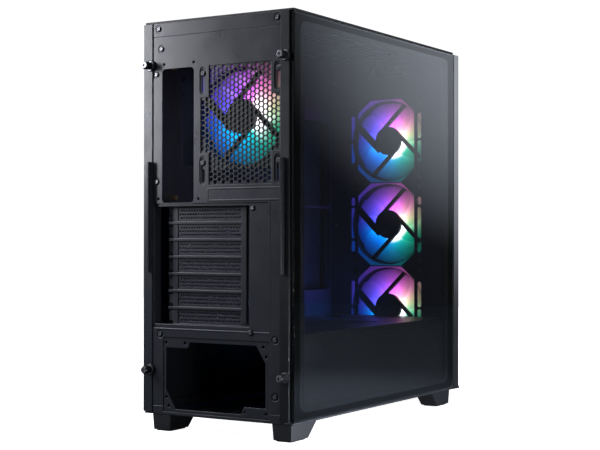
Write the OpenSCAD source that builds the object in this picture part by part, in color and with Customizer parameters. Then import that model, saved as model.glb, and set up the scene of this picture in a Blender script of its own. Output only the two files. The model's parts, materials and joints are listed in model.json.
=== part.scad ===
/* [Case] */
// Width over both side panels
body_w = 211.6; // [211:0.2:213]
// Height of the body without its feet
body_h = 470; // [470:1:480]
// Depth from the rear wall to the front wall
chassis_d = 427; // [427:1:440]
// Depth of the front panel in front of the front wall
front_t = 37; // [36:0.5:40]
// Height of the feet
foot_h = 20; // [16:1:26]
// Thickness of the folded steel sheet
sheet = 1; // [0.8:0.1:1.2]

/* [Rear wall] */
// Height of the separate strip at the top of the rear face
top_strip_h = 18.5; // [17:0.5:19]
// Width of the aperture for the motherboard's connectors
io_w = 46.5; // [44.5:0.5:47]
// Height of the aperture for the motherboard's connectors
io_h = 160.2; // [158.8:0.2:160.6]
// Corner radius of that aperture
io_r = 5; // [2:0.5:6]
// Distance between neighbouring expansion slots
slot_pitch = 20.32; // [20.32]
// Number of expansion slots
slot_count = 7; // [7]
// Depth of the slot recess behind the rear face
slot_inset = 14; // [12:1:16]
// Depth of the pressed area around the slot recess
press_depth = 1.5; // [1:0.1:2]

/* [Fans] */
// Side length of each fan
fan_size = 120; // [120]
// Depth of each fan
fan_t = 25; // [20:1:26]
// Distance between a fan's corner holes
fan_hole_pitch = 105; // [105]
// Height of the rear fan's centre above the base
rear_fan_z = 351; // [349:0.5:352]
// Height of the lowest front fan's centre above the base
front_fan_z = 110.7; // [108:0.1:112]
// Number of blades on each rotor
blade_count = 9; // [7:1:11]

/* [Side panels] */
// Thickness of the glass
glass_t = 3.5; // [3:0.1:3.6]
// Length of the finger lip on each panel's rear flange
lip_h = 132; // [100:1:150]
// Height of the upper thumbscrews above the base
thumb_top_z = 417; // [410:1:425]
// Height of the lower thumbscrews above the base
thumb_low_z = 53; // [45:1:60]

/* [Hidden] */
$fn = 48;

// Places: X runs towards the steel panel, Y towards the rear, Z up. Inside in_case() the
// rear wall's face is y = 0 and the base's underside is z = 0.
thumb_out = 15;
total_d = chassis_d + front_t + thumb_out;
rear_y = total_d / 2 - thumb_out;
half_w = body_w / 2;
gap = 0.3;

// Side panels, from the outside in
steel_in = half_w - sheet;
glass_in = -half_w + glass_t;
seal_t = 2;
frame_out = glass_in + seal_t;
frame_in = frame_out + sheet;
flange_y = gap;
flange_w = 12.6;
glass_flange_x = -88.7;
thumb_x = 95.5;
panel_z0 = 2.4;
panel_z1 = body_h - 2.7;
guide_z0 = 4.3;
guide_z1 = body_h - 6.2;
guide_w = 6.5;
lip_z0 = 169.5;
lip_out = 7;

// Chassis walls
wall_x0 = frame_in + gap + 0.4;
wall_x1 = steel_in - gap - 0.5;
open_x0 = -94.3;
open_x1 = 96.4;
roof_z = body_h - 3.5;
strip_z = body_h - top_strip_h;
tray_x = 80;
tray_front = -403;
shroud_z = 99.5;
shroud_wall_z = 8;
shroud_bevel = 7;
front_y = -chassis_d;
front_in = front_y + sheet;

// Rear wall features
io_x0 = 32.7;
io_z0 = 252;
press_x = [-73, 92.4];
press_z = [102.8, 251.2];
recess_x = [-45.3, 92];
recess_z = [107.8, 248];
ladder_y = -slot_inset;
window_x = [-26, 66];
ladder_x = [-36, 79];
slot_top_z = 238.7;
cover_h = 18.4;
psu_x = [-74.2, 77.3];
psu_z = [3.5, 92.5];

// Fans: [centre x, centre z, y of the face that carries the struts]
rear_fan = [-32.5, rear_fan_z, -2.2];
front_fan_x = 0.5;
front_fans = [for (i = [0:2]) [front_fan_x, front_fan_z + i * fan_size, front_y]];
all_fans = concat([rear_fan], front_fans);
fan_ring_r = 57;
hub_r = 20.4;
strut_t = 4.5;
bore_r = 1.55;
shaft_r = 1.5;

steel_paint = [0.16, 0.16, 0.18];
dark_steel = [0.07, 0.07, 0.08];
plastic = [0.05, 0.05, 0.06];

module in_case() { translate([0, rear_y, foot_h]) children(); }

// A block between two corners, given as one range per axis.
module block(x, y, z) {
    translate([x[0], y[0], z[0]]) cube([x[1] - x[0], y[1] - y[0], z[1] - z[0]]);
}

// A 2-D outline in X and Z, given thickness from y0 back to y1.
module wall_xz(y0, y1) { translate([0, y1, 0]) rotate([90, 0, 0]) linear_extrude(y1 - y0) children(); }

// A 2-D outline in Y and Z, given thickness from x0 to x1.
module wall_yz(x0, x1) { translate([x0, 0, 0]) rotate([90, 0, 90]) linear_extrude(x1 - x0) children(); }

// A 2-D outline in X and Y, given thickness from z0 to z1.
module plate_xy(z0, z1) { translate([0, 0, z0]) linear_extrude(z1 - z0) children(); }

module rect(a, b) { translate([a[0], b[0]]) square([a[1] - a[0], b[1] - b[0]]); }

module round_rect(a, b, r) {
    rect([a[0] + r, a[1] - r], b);
    rect(a, [b[0] + r, b[1] - r]);
    for (u = [a[0] + r, a[1] - r], v = [b[0] + r, b[1] - r]) translate([u, v]) circle(r);
}

// A slot with round ends: the long side runs along the second axis.
module slot(u, v, w) {
    rect([u - w / 2, u + w / 2], [v[0] + w / 2, v[1] - w / 2]);
    for (c = [v[0] + w / 2, v[1] - w / 2]) translate([u, c]) circle(w / 2);
}

// A slot whose long side runs along the first axis.
module slot_across(u, v, w) {
    rect([u[0] + w / 2, u[1] - w / 2], [v - w / 2, v + w / 2]);
    for (c = [u[0] + w / 2, u[1] - w / 2]) translate([c, v]) circle(w / 2);
}

// A cylinder along Y from y0 to y1.
module rod_y(x, z, y0, y1, r) { translate([x, y1, z]) rotate([90, 0, 0]) cylinder(r = r, h = y1 - y0); }

// ---- Chassis ----

base_vent_x = [-54, 54];
base_vent_y = [-190, -30];
low_filter_x = [-62, 62];
low_filter_y = [-215, -22];
rail_x = low_filter_x[1] + 0.5;
rail_y = [low_filter_y[0], -32];
rail_z = -4.4;

module base_pan() {
    color(dark_steel) in_case() {
        plate_xy(0, sheet) difference() {
            rect([-half_w + 0.6, half_w - 0.6], [front_in - 0.2, 0]);
            for (x = [base_vent_x[0] : 12 : base_vent_x[1]])
                for (y = [base_vent_y[0] : 40 : base_vent_y[1] - 40]) slot(x, [y + 3, y + 37], 6);
        }
        // edges folded over under the side panels
        for (s = [-1, 1]) block(s > 0 ? [half_w - 3, half_w - 0.6] : [-half_w + 0.6, -half_w + 3],
            [front_in - 0.2, 0], [sheet, sheet + 0.7]);
        // rails that the panels' lower guides run along
        block([open_x1 - sheet, open_x1], [-405, -2], [sheet, 12]);
        block([open_x0, open_x0 + sheet], [-405, -2], [sheet, 7.6]);
        // rails under the base that hold the dust filter
        for (m = [0, 1]) mirror([m, 0, 0]) {
            block([rail_x, rail_x + 2], rail_y, [rail_z, 0]);
            block([rail_x - 3, rail_x + 1], rail_y, [rail_z, rail_z + sheet]);
        }
        // rear edge, folded up and stepped round the bracket for the power supply
        wall_xz(-sheet, 0) {
            rect([open_x0, open_x1], [sheet, psu_z[0]]);
            rect([open_x0, psu_x[0]], [psu_z[0] - 0.1, 10]);
            rect([psu_x[1], open_x1], [psu_z[0] - 0.1, 10]);
        }
    }
}

// Where the raised band crosses the rear wall under the fan
band_x = [-88, 13.2];
band_z = [253.4, 268.8];
small_holes = [[76.3, 417.8], [33, 417.9], [84.7, 257], [26.2, 256.5]];
screw_spots = [[84.4, 460.9], [-83.9, 460.9], [80.3, 436.5], [87.8, 406.4], [87.2, 277.8],
    [81.7, 95.9], [-81, 94.7], [-81.1, 30.2]];
press_screw_spots = [[-49.5, 244.9, -press_depth], [-48.1, 102, gap]];
grille_x = [-75.5, 11.1];
grille_z = [272.5, 412.3];
grille_wide_x = [-87.2, 22.9];
grille_wide_z = [310.2, 375.3];
fan_slot_x = [19.5, -84.5];
fan_slot_z = [[378.9, 411.6], [273.1, 306.3]];

module thumb_spots() {
    for (x = [-thumb_x, thumb_x], z = [thumb_low_z, thumb_top_z]) translate([x, z]) children();
}

module rear_panel() {
    color(steel_paint) in_case() {
        difference() {
            wall_xz(-sheet, 0) difference() {
                rect([wall_x0, wall_x1], [10.3, strip_z - gap]);
                round_rect([io_x0, io_x0 + io_w], [io_z0, io_z0 + io_h], io_r);
                rect(grille_x, grille_z);
                rect(grille_wide_x, grille_wide_z);
                for (x = fan_slot_x, z = fan_slot_z) slot(x, z, 9.6);
                rect(press_x, press_z);
                rect(psu_x, [0, psu_z[1]]);
                for (p = small_holes) translate(p) circle(1.7);
                thumb_spots() circle(2);
            }
            for (p = screw_spots) if (p[1] < strip_z) rod_y(p[0], p[1], -0.5, 1, 5);
        }
        // raised band under the fan
        wall_xz(0, 0.6) difference() {
            round_rect(band_x, band_z, 2.5);
            round_rect([band_x[0] - 9, band_x[1] - 1.6], [band_z[0] + 1.6, band_z[1] - 1.6], 2);
        }
        wall_xz(0, 0.35) round_rect([band_x[0], band_x[1] - 1], [band_z[0] + 1, band_z[1] - 1], 2);
        // pressed area round the expansion slots: floor and side walls
        wall_xz(-press_depth - sheet, -press_depth) difference() {
            rect(press_x, press_z);
            rect(recess_x, recess_z);
        }
        wall_xz(-press_depth - sheet, 0) difference() {
            rect([press_x[0] - 0.8, press_x[1] + 0.8], [press_z[0] - 0.8, press_z[1] + 0.8]);
            rect(press_x, press_z);
            round_rect([io_x0, io_x0 + io_w], [io_z0, io_z0 + io_h], io_r);
        }
        // thin rims pressed round the area
        wall_xz(0, 0.3) {
            rect([press_x[0] - 1.2, press_x[0]], [press_z[0] - 1.2, band_z[0]]);
            rect([press_x[0] - 1.2, press_x[1]], [press_z[0] - 1.2, press_z[0]]);
        }
    }
}

// Hexagonal holes: columns a constant step apart, each second column shifted by half a hole.
hex_step_x = 5.78;
hex_step_z = 6.06;
hex_r = 2.75;

module rear_fan_grille() {
    cx = (grille_x[0] + grille_x[1]) / 2;
    cz = (grille_z[0] + grille_z[1]) / 2;
    color(dark_steel) in_case() wall_xz(rear_fan[2], -sheet) difference() {
        rect([-92, 27.5], [266, 418]);
        for (i = [-9:9], j = [-12:12]) {
            z = (j + (i % 2 == 0 ? 0 : 0.5)) * hex_step_z;
            tall = abs(i) <= 7;
            if (abs(z) < (tall ? 68 : 31.5)) translate([cx + i * hex_step_x, cz + z]) circle(hex_r, $fn = 6);
        }
        for (x = fan_slot_x, z = fan_slot_z) slot(rear_fan[0] + sign(x - rear_fan[0]) * fan_hole_pitch / 2,
            [z[0] + 2.2, z[1] - 2.2], 4.6);
    }
}

// The recess that holds the expansion slots: four walls, and a ladder at the bottom.
module slot_frame() {
    y0 = ladder_y - sheet;
    y1 = -press_depth - sheet;
    color(dark_steel) in_case() {
        wall_xz(y0, y1) difference() {
            rect([recess_x[0] - 0.9, recess_x[1] + 0.9], [recess_z[0] - 0.9, recess_z[1] + 0.9]);
            rect(recess_x, recess_z);
        }
        wall_xz(y0, ladder_y) difference() {
            rect([ladder_x[0], 73], recess_z);
            for (i = [0 : slot_count - 1]) rect(window_x,
                [slot_top_z - i * slot_pitch - 8.2, slot_top_z - i * slot_pitch + 8.2]);
        }
        // rungs between the slots, which stand proud
        for (i = [0 : slot_count - 2]) {
            z = slot_top_z - (i + 0.5) * slot_pitch;
            block([window_x[0] - 1, 78.5], [ladder_y - 0.1, ladder_y + 2.2], [z - 1.3, z + 1.3]);
        }
        // proud bar down the glass side
        block([ladder_x[0] + 2, window_x[0] - 1], [ladder_y - 0.1, ladder_y + 2.2],
            [recess_z[0] + 4, recess_z[1]]);
        // ledge that the covers' tabs are screwed to
        difference() {
            block([ladder_x[0], ladder_x[0] + sheet], [y0 - 14, y0], [recess_z[0], recess_z[1]]);
            for (i = [0 : slot_count - 1]) translate([ladder_x[0] - 1, y0 - 8, slot_top_z - i * slot_pitch])
                rotate([0, 90, 0]) cylinder(r = 1.7, h = 4);
        }
    }
}

module slot_cover(i) {
    z = slot_top_z - i * slot_pitch;
    y1 = ladder_y - sheet;
    y0 = y1 - 0.9;
    hole_step = 3.8;
    row_step = 4.3;
    tab_x = ladder_x[0] + sheet;
    color(steel_paint) in_case() {
        wall_xz(y0, y1) difference() {
            union() {
                rect([tab_x, 66], [z - cover_h / 2, z + cover_h / 2]);
                rect([65.9, 72], [z - cover_h / 2 + 3.5, z + cover_h / 2 - 3.5]);
                rect([71.9, 79], [z - 5.1, z + 5.1]);
            }
            for (a = [0:22], b = [-1:1]) translate([-22.6 + a * hole_step + (b == 0 ? hole_step / 2 : 0),
                z + b * row_step]) circle(1.45, $fn = 6);
        }
        // tab folded inwards, with the screw's hole
        difference() {
            block([tab_x, tab_x + 0.9], [y1 - 14, y1 - 0.5], [z - cover_h / 2, z + cover_h / 2]);
            translate([tab_x - 1, y1 - 8, z]) rotate([0, 90, 0]) cylinder(r = 1.7, h = 3);
        }
    }
}

module slot_screws() {
    color("silver") in_case() for (i = [0 : slot_count - 1])
        translate([ladder_x[0], ladder_y - sheet - 8, slot_top_z - i * slot_pitch]) difference() {
            union() {
                rotate([0, -90, 0]) cylinder(r1 = 3.4, r2 = 2.9, h = 2.2);
                rotate([0, 90, 0]) cylinder(r = 1.5, h = 6);
            }
            translate([-2.3, -2, -0.4]) cube([1.2, 4, 0.8]);
            translate([-2.3, -0.4, -2]) cube([1.2, 0.8, 4]);
        }
}

module top_panel() {
    vent_y = [for (k = [0:2]) -75 - k * 125];
    color(dark_steel) in_case() {
        plate_xy(roof_z, roof_z + sheet) difference() {
            rect([wall_x0, wall_x1], [front_in, 0]);
            for (y = vent_y, x = [-66 : 12 : 66]) slot(x, [y - 50, y + 50], 6);
            slot_across([-12, 12], -408, 6);
        }
        difference() {
            wall_xz(-sheet, 0) rect([open_x0, open_x1], [strip_z, roof_z]);
            for (p = screw_spots) if (p[1] > strip_z) rod_y(p[0], p[1], -0.5, 1, 5);
        }
        block([open_x1 - sheet, open_x1], [-405, -2], [guide_z1 - 8, roof_z]);
        block([open_x0, open_x0 + sheet], [-405, -2], [guide_z1 - 4, roof_z]);
    }
}

fan_window_w = 91;
fan_window_h = 118.5;
fan_corner = 25;
// how far the windows and side slots sit from the fan centres, towards the steel side
window_shift = 2.9;
side_slots = [[-31, -1], [2, 38]];
mid_slots = [[-40, -24], [-20.6, 24.2], [27, 39]];

module fan_window() {
    w = fan_window_w / 2;
    h = fan_window_h / 2;
    polygon([[-fan_corner, h], [fan_corner, h], [w, h - 18], [w, 18 - h], [fan_corner, -h],
        [-fan_corner, -h], [-w, 18 - h], [-w, h - 18]]);
}

peg_spots = [for (x = [-88, 88], z = [22, 230, 440]) [x, z]];

module front_wall() {
    color(dark_steel) in_case() {
        wall_xz(front_y, front_in) difference() {
            rect([wall_x0, wall_x1], [sheet, roof_z]);
            for (f = front_fans) translate([f[0], f[1]]) {
                translate([window_shift, 0]) fan_window();
                for (a = [-1, 1], b = [-1, 1]) translate([a, b] * fan_hole_pitch / 2) circle(2.2);
            }
            for (k = [0:2], s = [-1, 1]) for (v = k == 1 ? mid_slots : side_slots)
                slot(front_fan_x + window_shift + s * 53.5, [front_fans[k][1] + v[0], front_fans[k][1] + v[1]], 6);
            for (p = peg_spots) translate(p) circle(3.5);
            // way through for the connector cables
            slot_across([-30, 30], 450, 14);
        }
        // side edges folded towards the rear
        block([wall_x0, wall_x0 + sheet], [front_in, front_in + 13], [sheet, roof_z]);
        block([wall_x1 - sheet, wall_x1], [front_in, front_in + 13], [sheet, roof_z]);
    }
}

standoff_y = [-21, -175.9, -248.3];
standoff_z = [134.6, 259, 416.5];

module motherboard_tray() {
    color(steel_paint) in_case() {
        wall_yz(tray_x, tray_x + sheet) difference() {
            rect([tray_front, -sheet], [shroud_z, roof_z]);
            // corner that clears the slot recess
            rect([ladder_y - 2.2, 1], [shroud_z - 1, band_z[0] + 1]);
            // window behind the processor
            round_rect([-150, -40], [300, 408], 8);
            // cable ways
            round_rect([-399, -318], [257, 378], 10);
            round_rect([-399, -318], [137, 253], 10);
            round_rect([-300, -262], [390, 402], 5);
            for (y = [-60, -120, -180]) slot_across([y - 12, y + 12], 446, 8);
            for (y = standoff_y, z = standoff_z) translate([y, z]) circle(1.7);
        }
        // edge folded along the rear wall
        block([tray_x + sheet, tray_x + 11], [-1 - sheet, -sheet], [282, 402]);
        block([tray_x, tray_x + 11], [tray_front, tray_front + sheet], [shroud_z + 20, roof_z - 20]);
    }
}

module standoffs() {
    color("gold") in_case() for (y = standoff_y, z = standoff_z) translate([tray_x, y, z])
        rotate([0, -90, 0]) difference() {
            union() {
                cylinder(r = 2.9, h = 6.5, $fn = 6);
                translate([0, 0, -sheet]) cylinder(r = 1.6, h = sheet + 0.1);
            }
            translate([0, 0, -sheet - 1]) cylinder(r = 1.25, h = 9);
        }
}

module psu_shroud() {
    x0 = wall_x0 - 0.1;
    front = front_in + 14;
    color(steel_paint) in_case() {
        // top plate
        plate_xy(shroud_z - sheet, shroud_z) difference() {
            union() {
                rect([x0 + shroud_bevel, tray_x + sheet], [front, ladder_y - 2.2]);
                rect([wall_x0 + sheet + gap, tray_x + sheet], [front_in, front + 0.1]);
                rect([x0 + shroud_bevel, tray_x + sheet], [ladder_y - 2.3, -2.4]);
            }
            round_rect([48, 76], [-398, -348], 4);
            round_rect([48, 76], [-250, -190], 4);
            for (k = [0:5]) slot(-50 + k * 12, [-300, -250], 5);
        }
        // sloping edge and side wall towards the glass
        translate([0, -2.4, 0]) rotate([90, 0, 0]) linear_extrude(-2.4 - front) polygon([
            [x0, shroud_wall_z], [x0, shroud_z - shroud_bevel], [x0 + shroud_bevel, shroud_z],
            [x0 + shroud_bevel, shroud_z - 1.42 * sheet],
            [x0 + sheet, shroud_z - shroud_bevel - 0.42 * sheet],
            [x0 + sheet, shroud_wall_z + sheet], [x0 + 9, shroud_wall_z + sheet], [x0 + 9, shroud_wall_z]]);
    }
}

// Screw places of the power supply in its two orientations
psu_screws = [[73.4, 86], [-64.6, 86], [72.7, 21.5], [-39.2, 10.4], [-68.4, 10], [69.5, 10.8],
    [-68.4, 75], [45.5, 86]];

module psu_bracket() {
    color(steel_paint) in_case() wall_xz(-sheet - 1.2, -sheet) difference() {
        rect([psu_x[0] - 4, psu_x[1] + 4], [1.2, 96.5]);
        polygon([[73.5, 80], [42.5, 80], [40, 82.5], [40, 87.3], [-55, 87.3], [-67.8, 67], [-67.8, 16],
            [-38.5, 16], [-34.8, 7.2], [59.5, 7.2], [73.5, 30.1]]);
        for (p = psu_screws) translate(p) circle(2);
    }
}

// ---- Side panels ----

// The flange over the rear wall, with an ear round each screw.
module rear_flange(inner, outer) {
    s = sign(outer);
    difference() {
        union() {
            rect([min(inner, outer), max(inner, outer)], [panel_z0, panel_z1]);
            for (z = [thumb_low_z, thumb_top_z]) translate([s * thumb_x, z]) circle(5);
        }
        for (z = [thumb_low_z, thumb_top_z]) translate([s * thumb_x, z]) circle(2.1);
    }
}

// The lip that fingers pull, folded out to the rear along the flange's inner edge.
module finger_lip(x0, x1) {
    y0 = flange_y + sheet;
    translate([0, 0, lip_z0]) linear_extrude(lip_h) polygon([[x0, y0 - 0.1], [x0, y0 + lip_out - 0.6],
        [x0 + 0.6, y0 + lip_out], [x1 - 0.6, y0 + lip_out], [x1, y0 + lip_out - 0.6], [x1, y0 - 0.1]]);
}

module guide(x, z) { block(x, [-405, -3], [z, z + sheet]); }

module steel_side_panel() {
    color(steel_paint) in_case() {
        block([steel_in, half_w], [front_in + 0.6, flange_y + sheet], [panel_z0, panel_z1]);
        wall_xz(flange_y, flange_y + sheet) rear_flange(half_w - flange_w, half_w);
        finger_lip(half_w - flange_w + 0.4, half_w - flange_w + 4);
        for (z = [guide_z0, guide_z1]) guide([steel_in - guide_w, steel_in + 0.1], z);
    }
}

module glass_pane() {
    color([0.2, 0.22, 0.24, 0.5]) in_case() wall_yz(-half_w, glass_in)
        round_rect([front_in + 0.4, -0.8], [panel_z0, panel_z1 + 0.1], 1.5);
}

window_y = [-400.5, -25.6];
window_z = [19.3, 450.5];

module glass_seal() {
    color("black") in_case() wall_yz(glass_in, frame_out) difference() {
        rect([front_in + 2, -3], [panel_z0 + 2, panel_z1 - 2]);
        round_rect([window_y[0] - 9, window_y[1] + 9], [window_z[0] - 8, window_z[1] + 8], 12);
    }
}

module glass_frame() {
    color(dark_steel) in_case() {
        wall_yz(frame_out, frame_in) difference() {
            rect([front_in + 0.8, flange_y + sheet], [panel_z0 + 0.6, panel_z1 - 0.4]);
            round_rect([window_y[0] - 2, window_y[1] + 2], [window_z[0] - 2, window_z[1] + 2], 9);
        }
        wall_xz(flange_y, flange_y + sheet) rear_flange(glass_flange_x, frame_out);
        finger_lip(glass_flange_x - 5.5, glass_flange_x - 2.3);
        for (z = [guide_z0, guide_z1]) guide([frame_in - 0.1, frame_in + 4.2], z);
    }
}

module thumbscrew(x, z) {
    y = flange_y + sheet;
    color("black") in_case() translate([x, y, z]) rotate([-90, 0, 0]) difference() {
        union() {
            cylinder(r = 6.6, h = 1.6);
            translate([0, 0, 1.6]) cylinder(r1 = 6.6, r2 = 5.6, h = 0.8);
            cylinder(r = 4.4, h = 12.6);
            translate([0, 0, 12.6]) cylinder(r1 = 4.4, r2 = 3.6, h = 1.1);
            for (k = [0:15]) rotate(k * 22.5) translate([4.3, -0.45, 3.4]) cube([0.5, 0.9, 8.6]);
            translate([0, 0, -6]) cylinder(r = 1.6, h = 6.2);
        }
        for (a = [0, 90]) rotate(a) translate([-2.4, -0.55, 12]) cube([4.8, 1.1, 3]);
    }
}

// ---- Front panel ----

bezel_z1 = body_h - 2.5;
bezel_back = front_y - gap;
bezel_front = front_y - front_t;
bezel_side_y = -441;
bezel_nose_x = 90;
bezel_wall = 2.4;
peg_out = 3.5;
mesh_x = 80;
mesh_z = [26, 446];

// Outline of the front panel in plan, with its bevelled corners, drawn in by d.
module bezel_plan(d) {
    x1 = half_w - d;
    x2 = bezel_nose_x - 0.7 * d;
    yb = bezel_side_y + 0.45 * d;
    yf = bezel_front + d;
    polygon([[-x1, bezel_back], [-x1, yb], [-x1 + 2.2, yb - 5.5], [-x2 - 3, yf + 2], [-x2, yf], [x2, yf],
        [x2 + 3, yf + 2], [x1 - 2.2, yb - 5.5], [x1, yb], [x1, bezel_back]]);
}

button_x = [72, 53];
usb_x = [12, -8];
port_y = -443;
// underside of the connector board
io_z = 446;

module front_bezel() {
    color(plastic) in_case() difference() {
        union() {
            plate_xy(0, bezel_z1) bezel_plan(0);
            plate_xy(0, 2.2) intersection() {
                rect([-half_w - 2, half_w + 2], [bezel_front, bezel_side_y + 9]);
                lip_plan();
            }
        }
        plate_xy(3, bezel_z1 - 3) bezel_plan(bezel_wall);
        // slot in the front face that the mesh sits in
        block([-mesh_x, mesh_x], [bezel_front - 1, bezel_front + 9], mesh_z);
        block([-mesh_x - 4, mesh_x + 4], [bezel_front + 1.4, bezel_front + 3],
            [mesh_z[0] - 4, mesh_z[1] + 4]);
        // open back
        block([-half_w + bezel_wall, half_w - bezel_wall], [bezel_back - 1, bezel_back + 2],
            [3, bezel_z1 - 3]);
        // openings in the top for the buttons and the connectors
        for (k = [0, 1]) translate([button_x[k], port_y, bezel_z1 - 4]) cylinder(r = k == 0 ? 7 : 4, h = 6);
        for (x = usb_x) block([x - 6.6, x + 6.6], [port_y - 3, port_y + 3], [bezel_z1 - 4, bezel_z1 + 1]);
        plate_xy(bezel_z1 - 4, bezel_z1 + 1) slot_across([-31.5, -22.5], port_y, 3.4);
        translate([33, port_y, bezel_z1 - 4]) cylinder(r = 3.2, h = 6);
    }
    // pegs that clip into the front wall, and posts for the connector board
    color(plastic) in_case() {
        for (p = peg_spots) {
            rod_y(p[0], p[1], bezel_back, bezel_back + peg_out, 2.9);
            rod_y(p[0], p[1], bezel_front + 6, bezel_back + 0.1, 5);
        }
        for (x = [-42, 84]) translate([x, port_y, io_z + 1.6])
            cylinder(r = 2.6, h = bezel_z1 - 3 - io_z - 1.5);
    }
}

// Outline of the lip round the foot of the front panel.
module lip_plan() {
    g = 1.4;
    x1 = half_w + g;
    x2 = bezel_nose_x;
    polygon([[-x1, bezel_side_y + 9], [-x1, bezel_side_y], [-x1 + 2.2, bezel_side_y - 5.5],
        [-x2 - 3, bezel_front + 1], [-x2, bezel_front], [x2, bezel_front], [x2 + 3, bezel_front + 1],
        [x1 - 2.2, bezel_side_y - 5.5], [x1, bezel_side_y], [x1, bezel_side_y + 9]]);
}

module front_mesh() {
    color(dark_steel) in_case() wall_xz(bezel_front + 1.5, bezel_front + 2.7) difference() {
        rect([-mesh_x - 3.6, mesh_x + 3.6], [mesh_z[0] - 3.6, mesh_z[1] + 3.6]);
        for (x = [-72 : 12 : 72], z = [mesh_z[0] + 8 : 28 : mesh_z[1] - 28]) slot(x, [z, z + 22], 6);
    }
}

module front_filter() {
    color([0.1, 0.1, 0.1]) in_case() {
        wall_xz(bezel_front + 2.7, bezel_front + 4.7) difference() {
            rect([-mesh_x + 0.4, mesh_x - 0.4], [mesh_z[0] + 0.4, mesh_z[1] - 0.4]);
            for (k = [0:2]) rect([-mesh_x + 5, mesh_x - 5],
                [mesh_z[0] + 5 + k * 138.5, mesh_z[0] + 5 + k * 138.5 + 133]);
        }
        wall_xz(bezel_front + 3.5, bezel_front + 3.8)
            rect([-mesh_x + 4, mesh_x - 4], [mesh_z[0] + 4, mesh_z[1] - 4]);
    }
}

module button(x, r) {
    color(plastic) in_case() translate([x, port_y, 0]) {
        translate([0, 0, io_z + 3.4]) cylinder(r = 1.8, h = bezel_z1 - 3 - io_z - 5);
        translate([0, 0, bezel_z1 - 4.7]) cylinder(r = r + 1.4, h = 1.4);
        translate([0, 0, bezel_z1 - 4]) cylinder(r = r, h = 4.2);
        translate([0, 0, bezel_z1 + 0.2]) cylinder(r1 = r, r2 = r - 0.6, h = 0.6);
    }
}

module power_button() { button(button_x[0], 6.7); }

module light_button() { button(button_x[1], 3.7); }

module io_board() {
    color([0.02, 0.12, 0.06]) in_case() {
        block([-47, 89], [port_y - 9, port_y + 9], [io_z, io_z + 1.6]);
        for (x = button_x) block([x - 3, x + 3], [port_y - 3, port_y + 3], [io_z + 1.6, io_z + 2.1]);
        block([-15, 0], [port_y - 8, port_y - 3.4], [io_z - 6, io_z]);
    }
}

module io_ports() {
    color("silver") in_case() {
        for (x = usb_x) difference() {
            block([x - 6.4, x + 6.4], [port_y - 2.8, port_y + 2.8], [io_z + 1.6, bezel_z1 - 0.6]);
            block([x - 6, x + 6], [port_y - 2.4, port_y + 2.4], [io_z + 6, bezel_z1]);
        }
        for (x = usb_x) block([x - 5.4, x + 5.4], [port_y - 1.9, port_y - 0.2], [io_z + 5.9, bezel_z1 - 2]);
        difference() {
            plate_xy(io_z + 1.6, bezel_z1 - 0.6) slot_across([-31.3, -22.7], port_y, 3.2);
            plate_xy(io_z + 6, bezel_z1) slot_across([-30.9, -23.1], port_y, 2.4);
        }
        translate([33, port_y, io_z + 1.6]) difference() {
            cylinder(r = 3, h = bezel_z1 - 0.6 - io_z - 1.6);
            translate([0, 0, 4]) cylinder(r = 1.75, h = 20);
        }
    }
}

// ---- Dust filters ----

top_filter_z = body_h - 2.2;

module top_filter_frame() {
    color(plastic) in_case() plate_xy(top_filter_z, body_h) difference() {
        round_rect([-half_w + 0.4, half_w - 0.4], [front_y + 1, -0.4], 2);
        top_windows();
    }
}

module top_windows() {
    for (k = [0:2]) round_rect([-84, 84], [-142 - k * 132, -16 - k * 132], 3);
}

module top_filter_mesh() {
    color([0.12, 0.12, 0.12]) in_case() plate_xy(top_filter_z + 0.6, top_filter_z + 1) top_windows();
}

module bottom_filter_frame() {
    color(plastic) in_case() plate_xy(-3, -0.4) difference() {
        union() {
            round_rect(low_filter_x, low_filter_y, 3);
            round_rect([-14, 14], [low_filter_y[1] - 5, low_filter_y[1] + 3], 3);
        }
        low_windows();
    }
}

module low_windows() {
    for (k = [0, 1]) rect([low_filter_x[0] + 6 + k * 57.5, low_filter_x[0] + 60.5 + k * 57.5],
        [low_filter_y[0] + 6, low_filter_y[1] - 8]);
}

module bottom_filter_mesh() {
    color([0.12, 0.12, 0.12]) in_case() plate_xy(-1.9, -1.5) low_windows();
}

// ---- Feet ----

pad_t = 1.2;

// A foot: y0 is its upright end and dir points along the sloping end.
module foot(x, y0, dir) {
    color(plastic) in_case() intersection() {
        wall_yz(x[0], x[1]) polygon([[y0, 0], [y0 + dir * 55.5, 0], [y0 + dir * 38, pad_t - foot_h],
            [y0 + dir, pad_t - foot_h]]);
        wall_xz(-chassis_d, 0) polygon([[x[0], 0], [x[1], 0], [x[1] - 1.2, pad_t - foot_h],
            [x[0] + 1.2, pad_t - foot_h]]);
    }
}

foot_steel_x = [66.5, 93.3];
foot_glass_x = [-103.2, -76.5];
foot_rear_y = -0.5;
foot_front_y = -418;

module foot_pads() {
    color([0.03, 0.03, 0.03]) in_case() plate_xy(-foot_h, pad_t - foot_h)
        for (x = [foot_steel_x, foot_glass_x]) {
            round_rect([x[0] + 3, x[1] - 3], [foot_rear_y - 36, foot_rear_y - 3], 3);
            round_rect([x[0] + 3, x[1] - 3], [foot_front_y + 3, foot_front_y + 36], 3);
        }
}

// ---- Fans ----

// Four struts, tangent to the hub; the one towards the upper corner on the steel side is a
// wider channel for the wires.
module struts() {
    for (k = [0:3]) rotate(k * 90) translate([17.5 + (k == 3 ? 1.6 : 0), 0])
        rect(k == 3 ? [-4.5, 4.5] : [-2.6, 2.6], [0, 60]);
}

module at_fan(f) { translate([f[0], f[2], f[1]]) rotate([90, 0, 0]) children(); }

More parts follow.
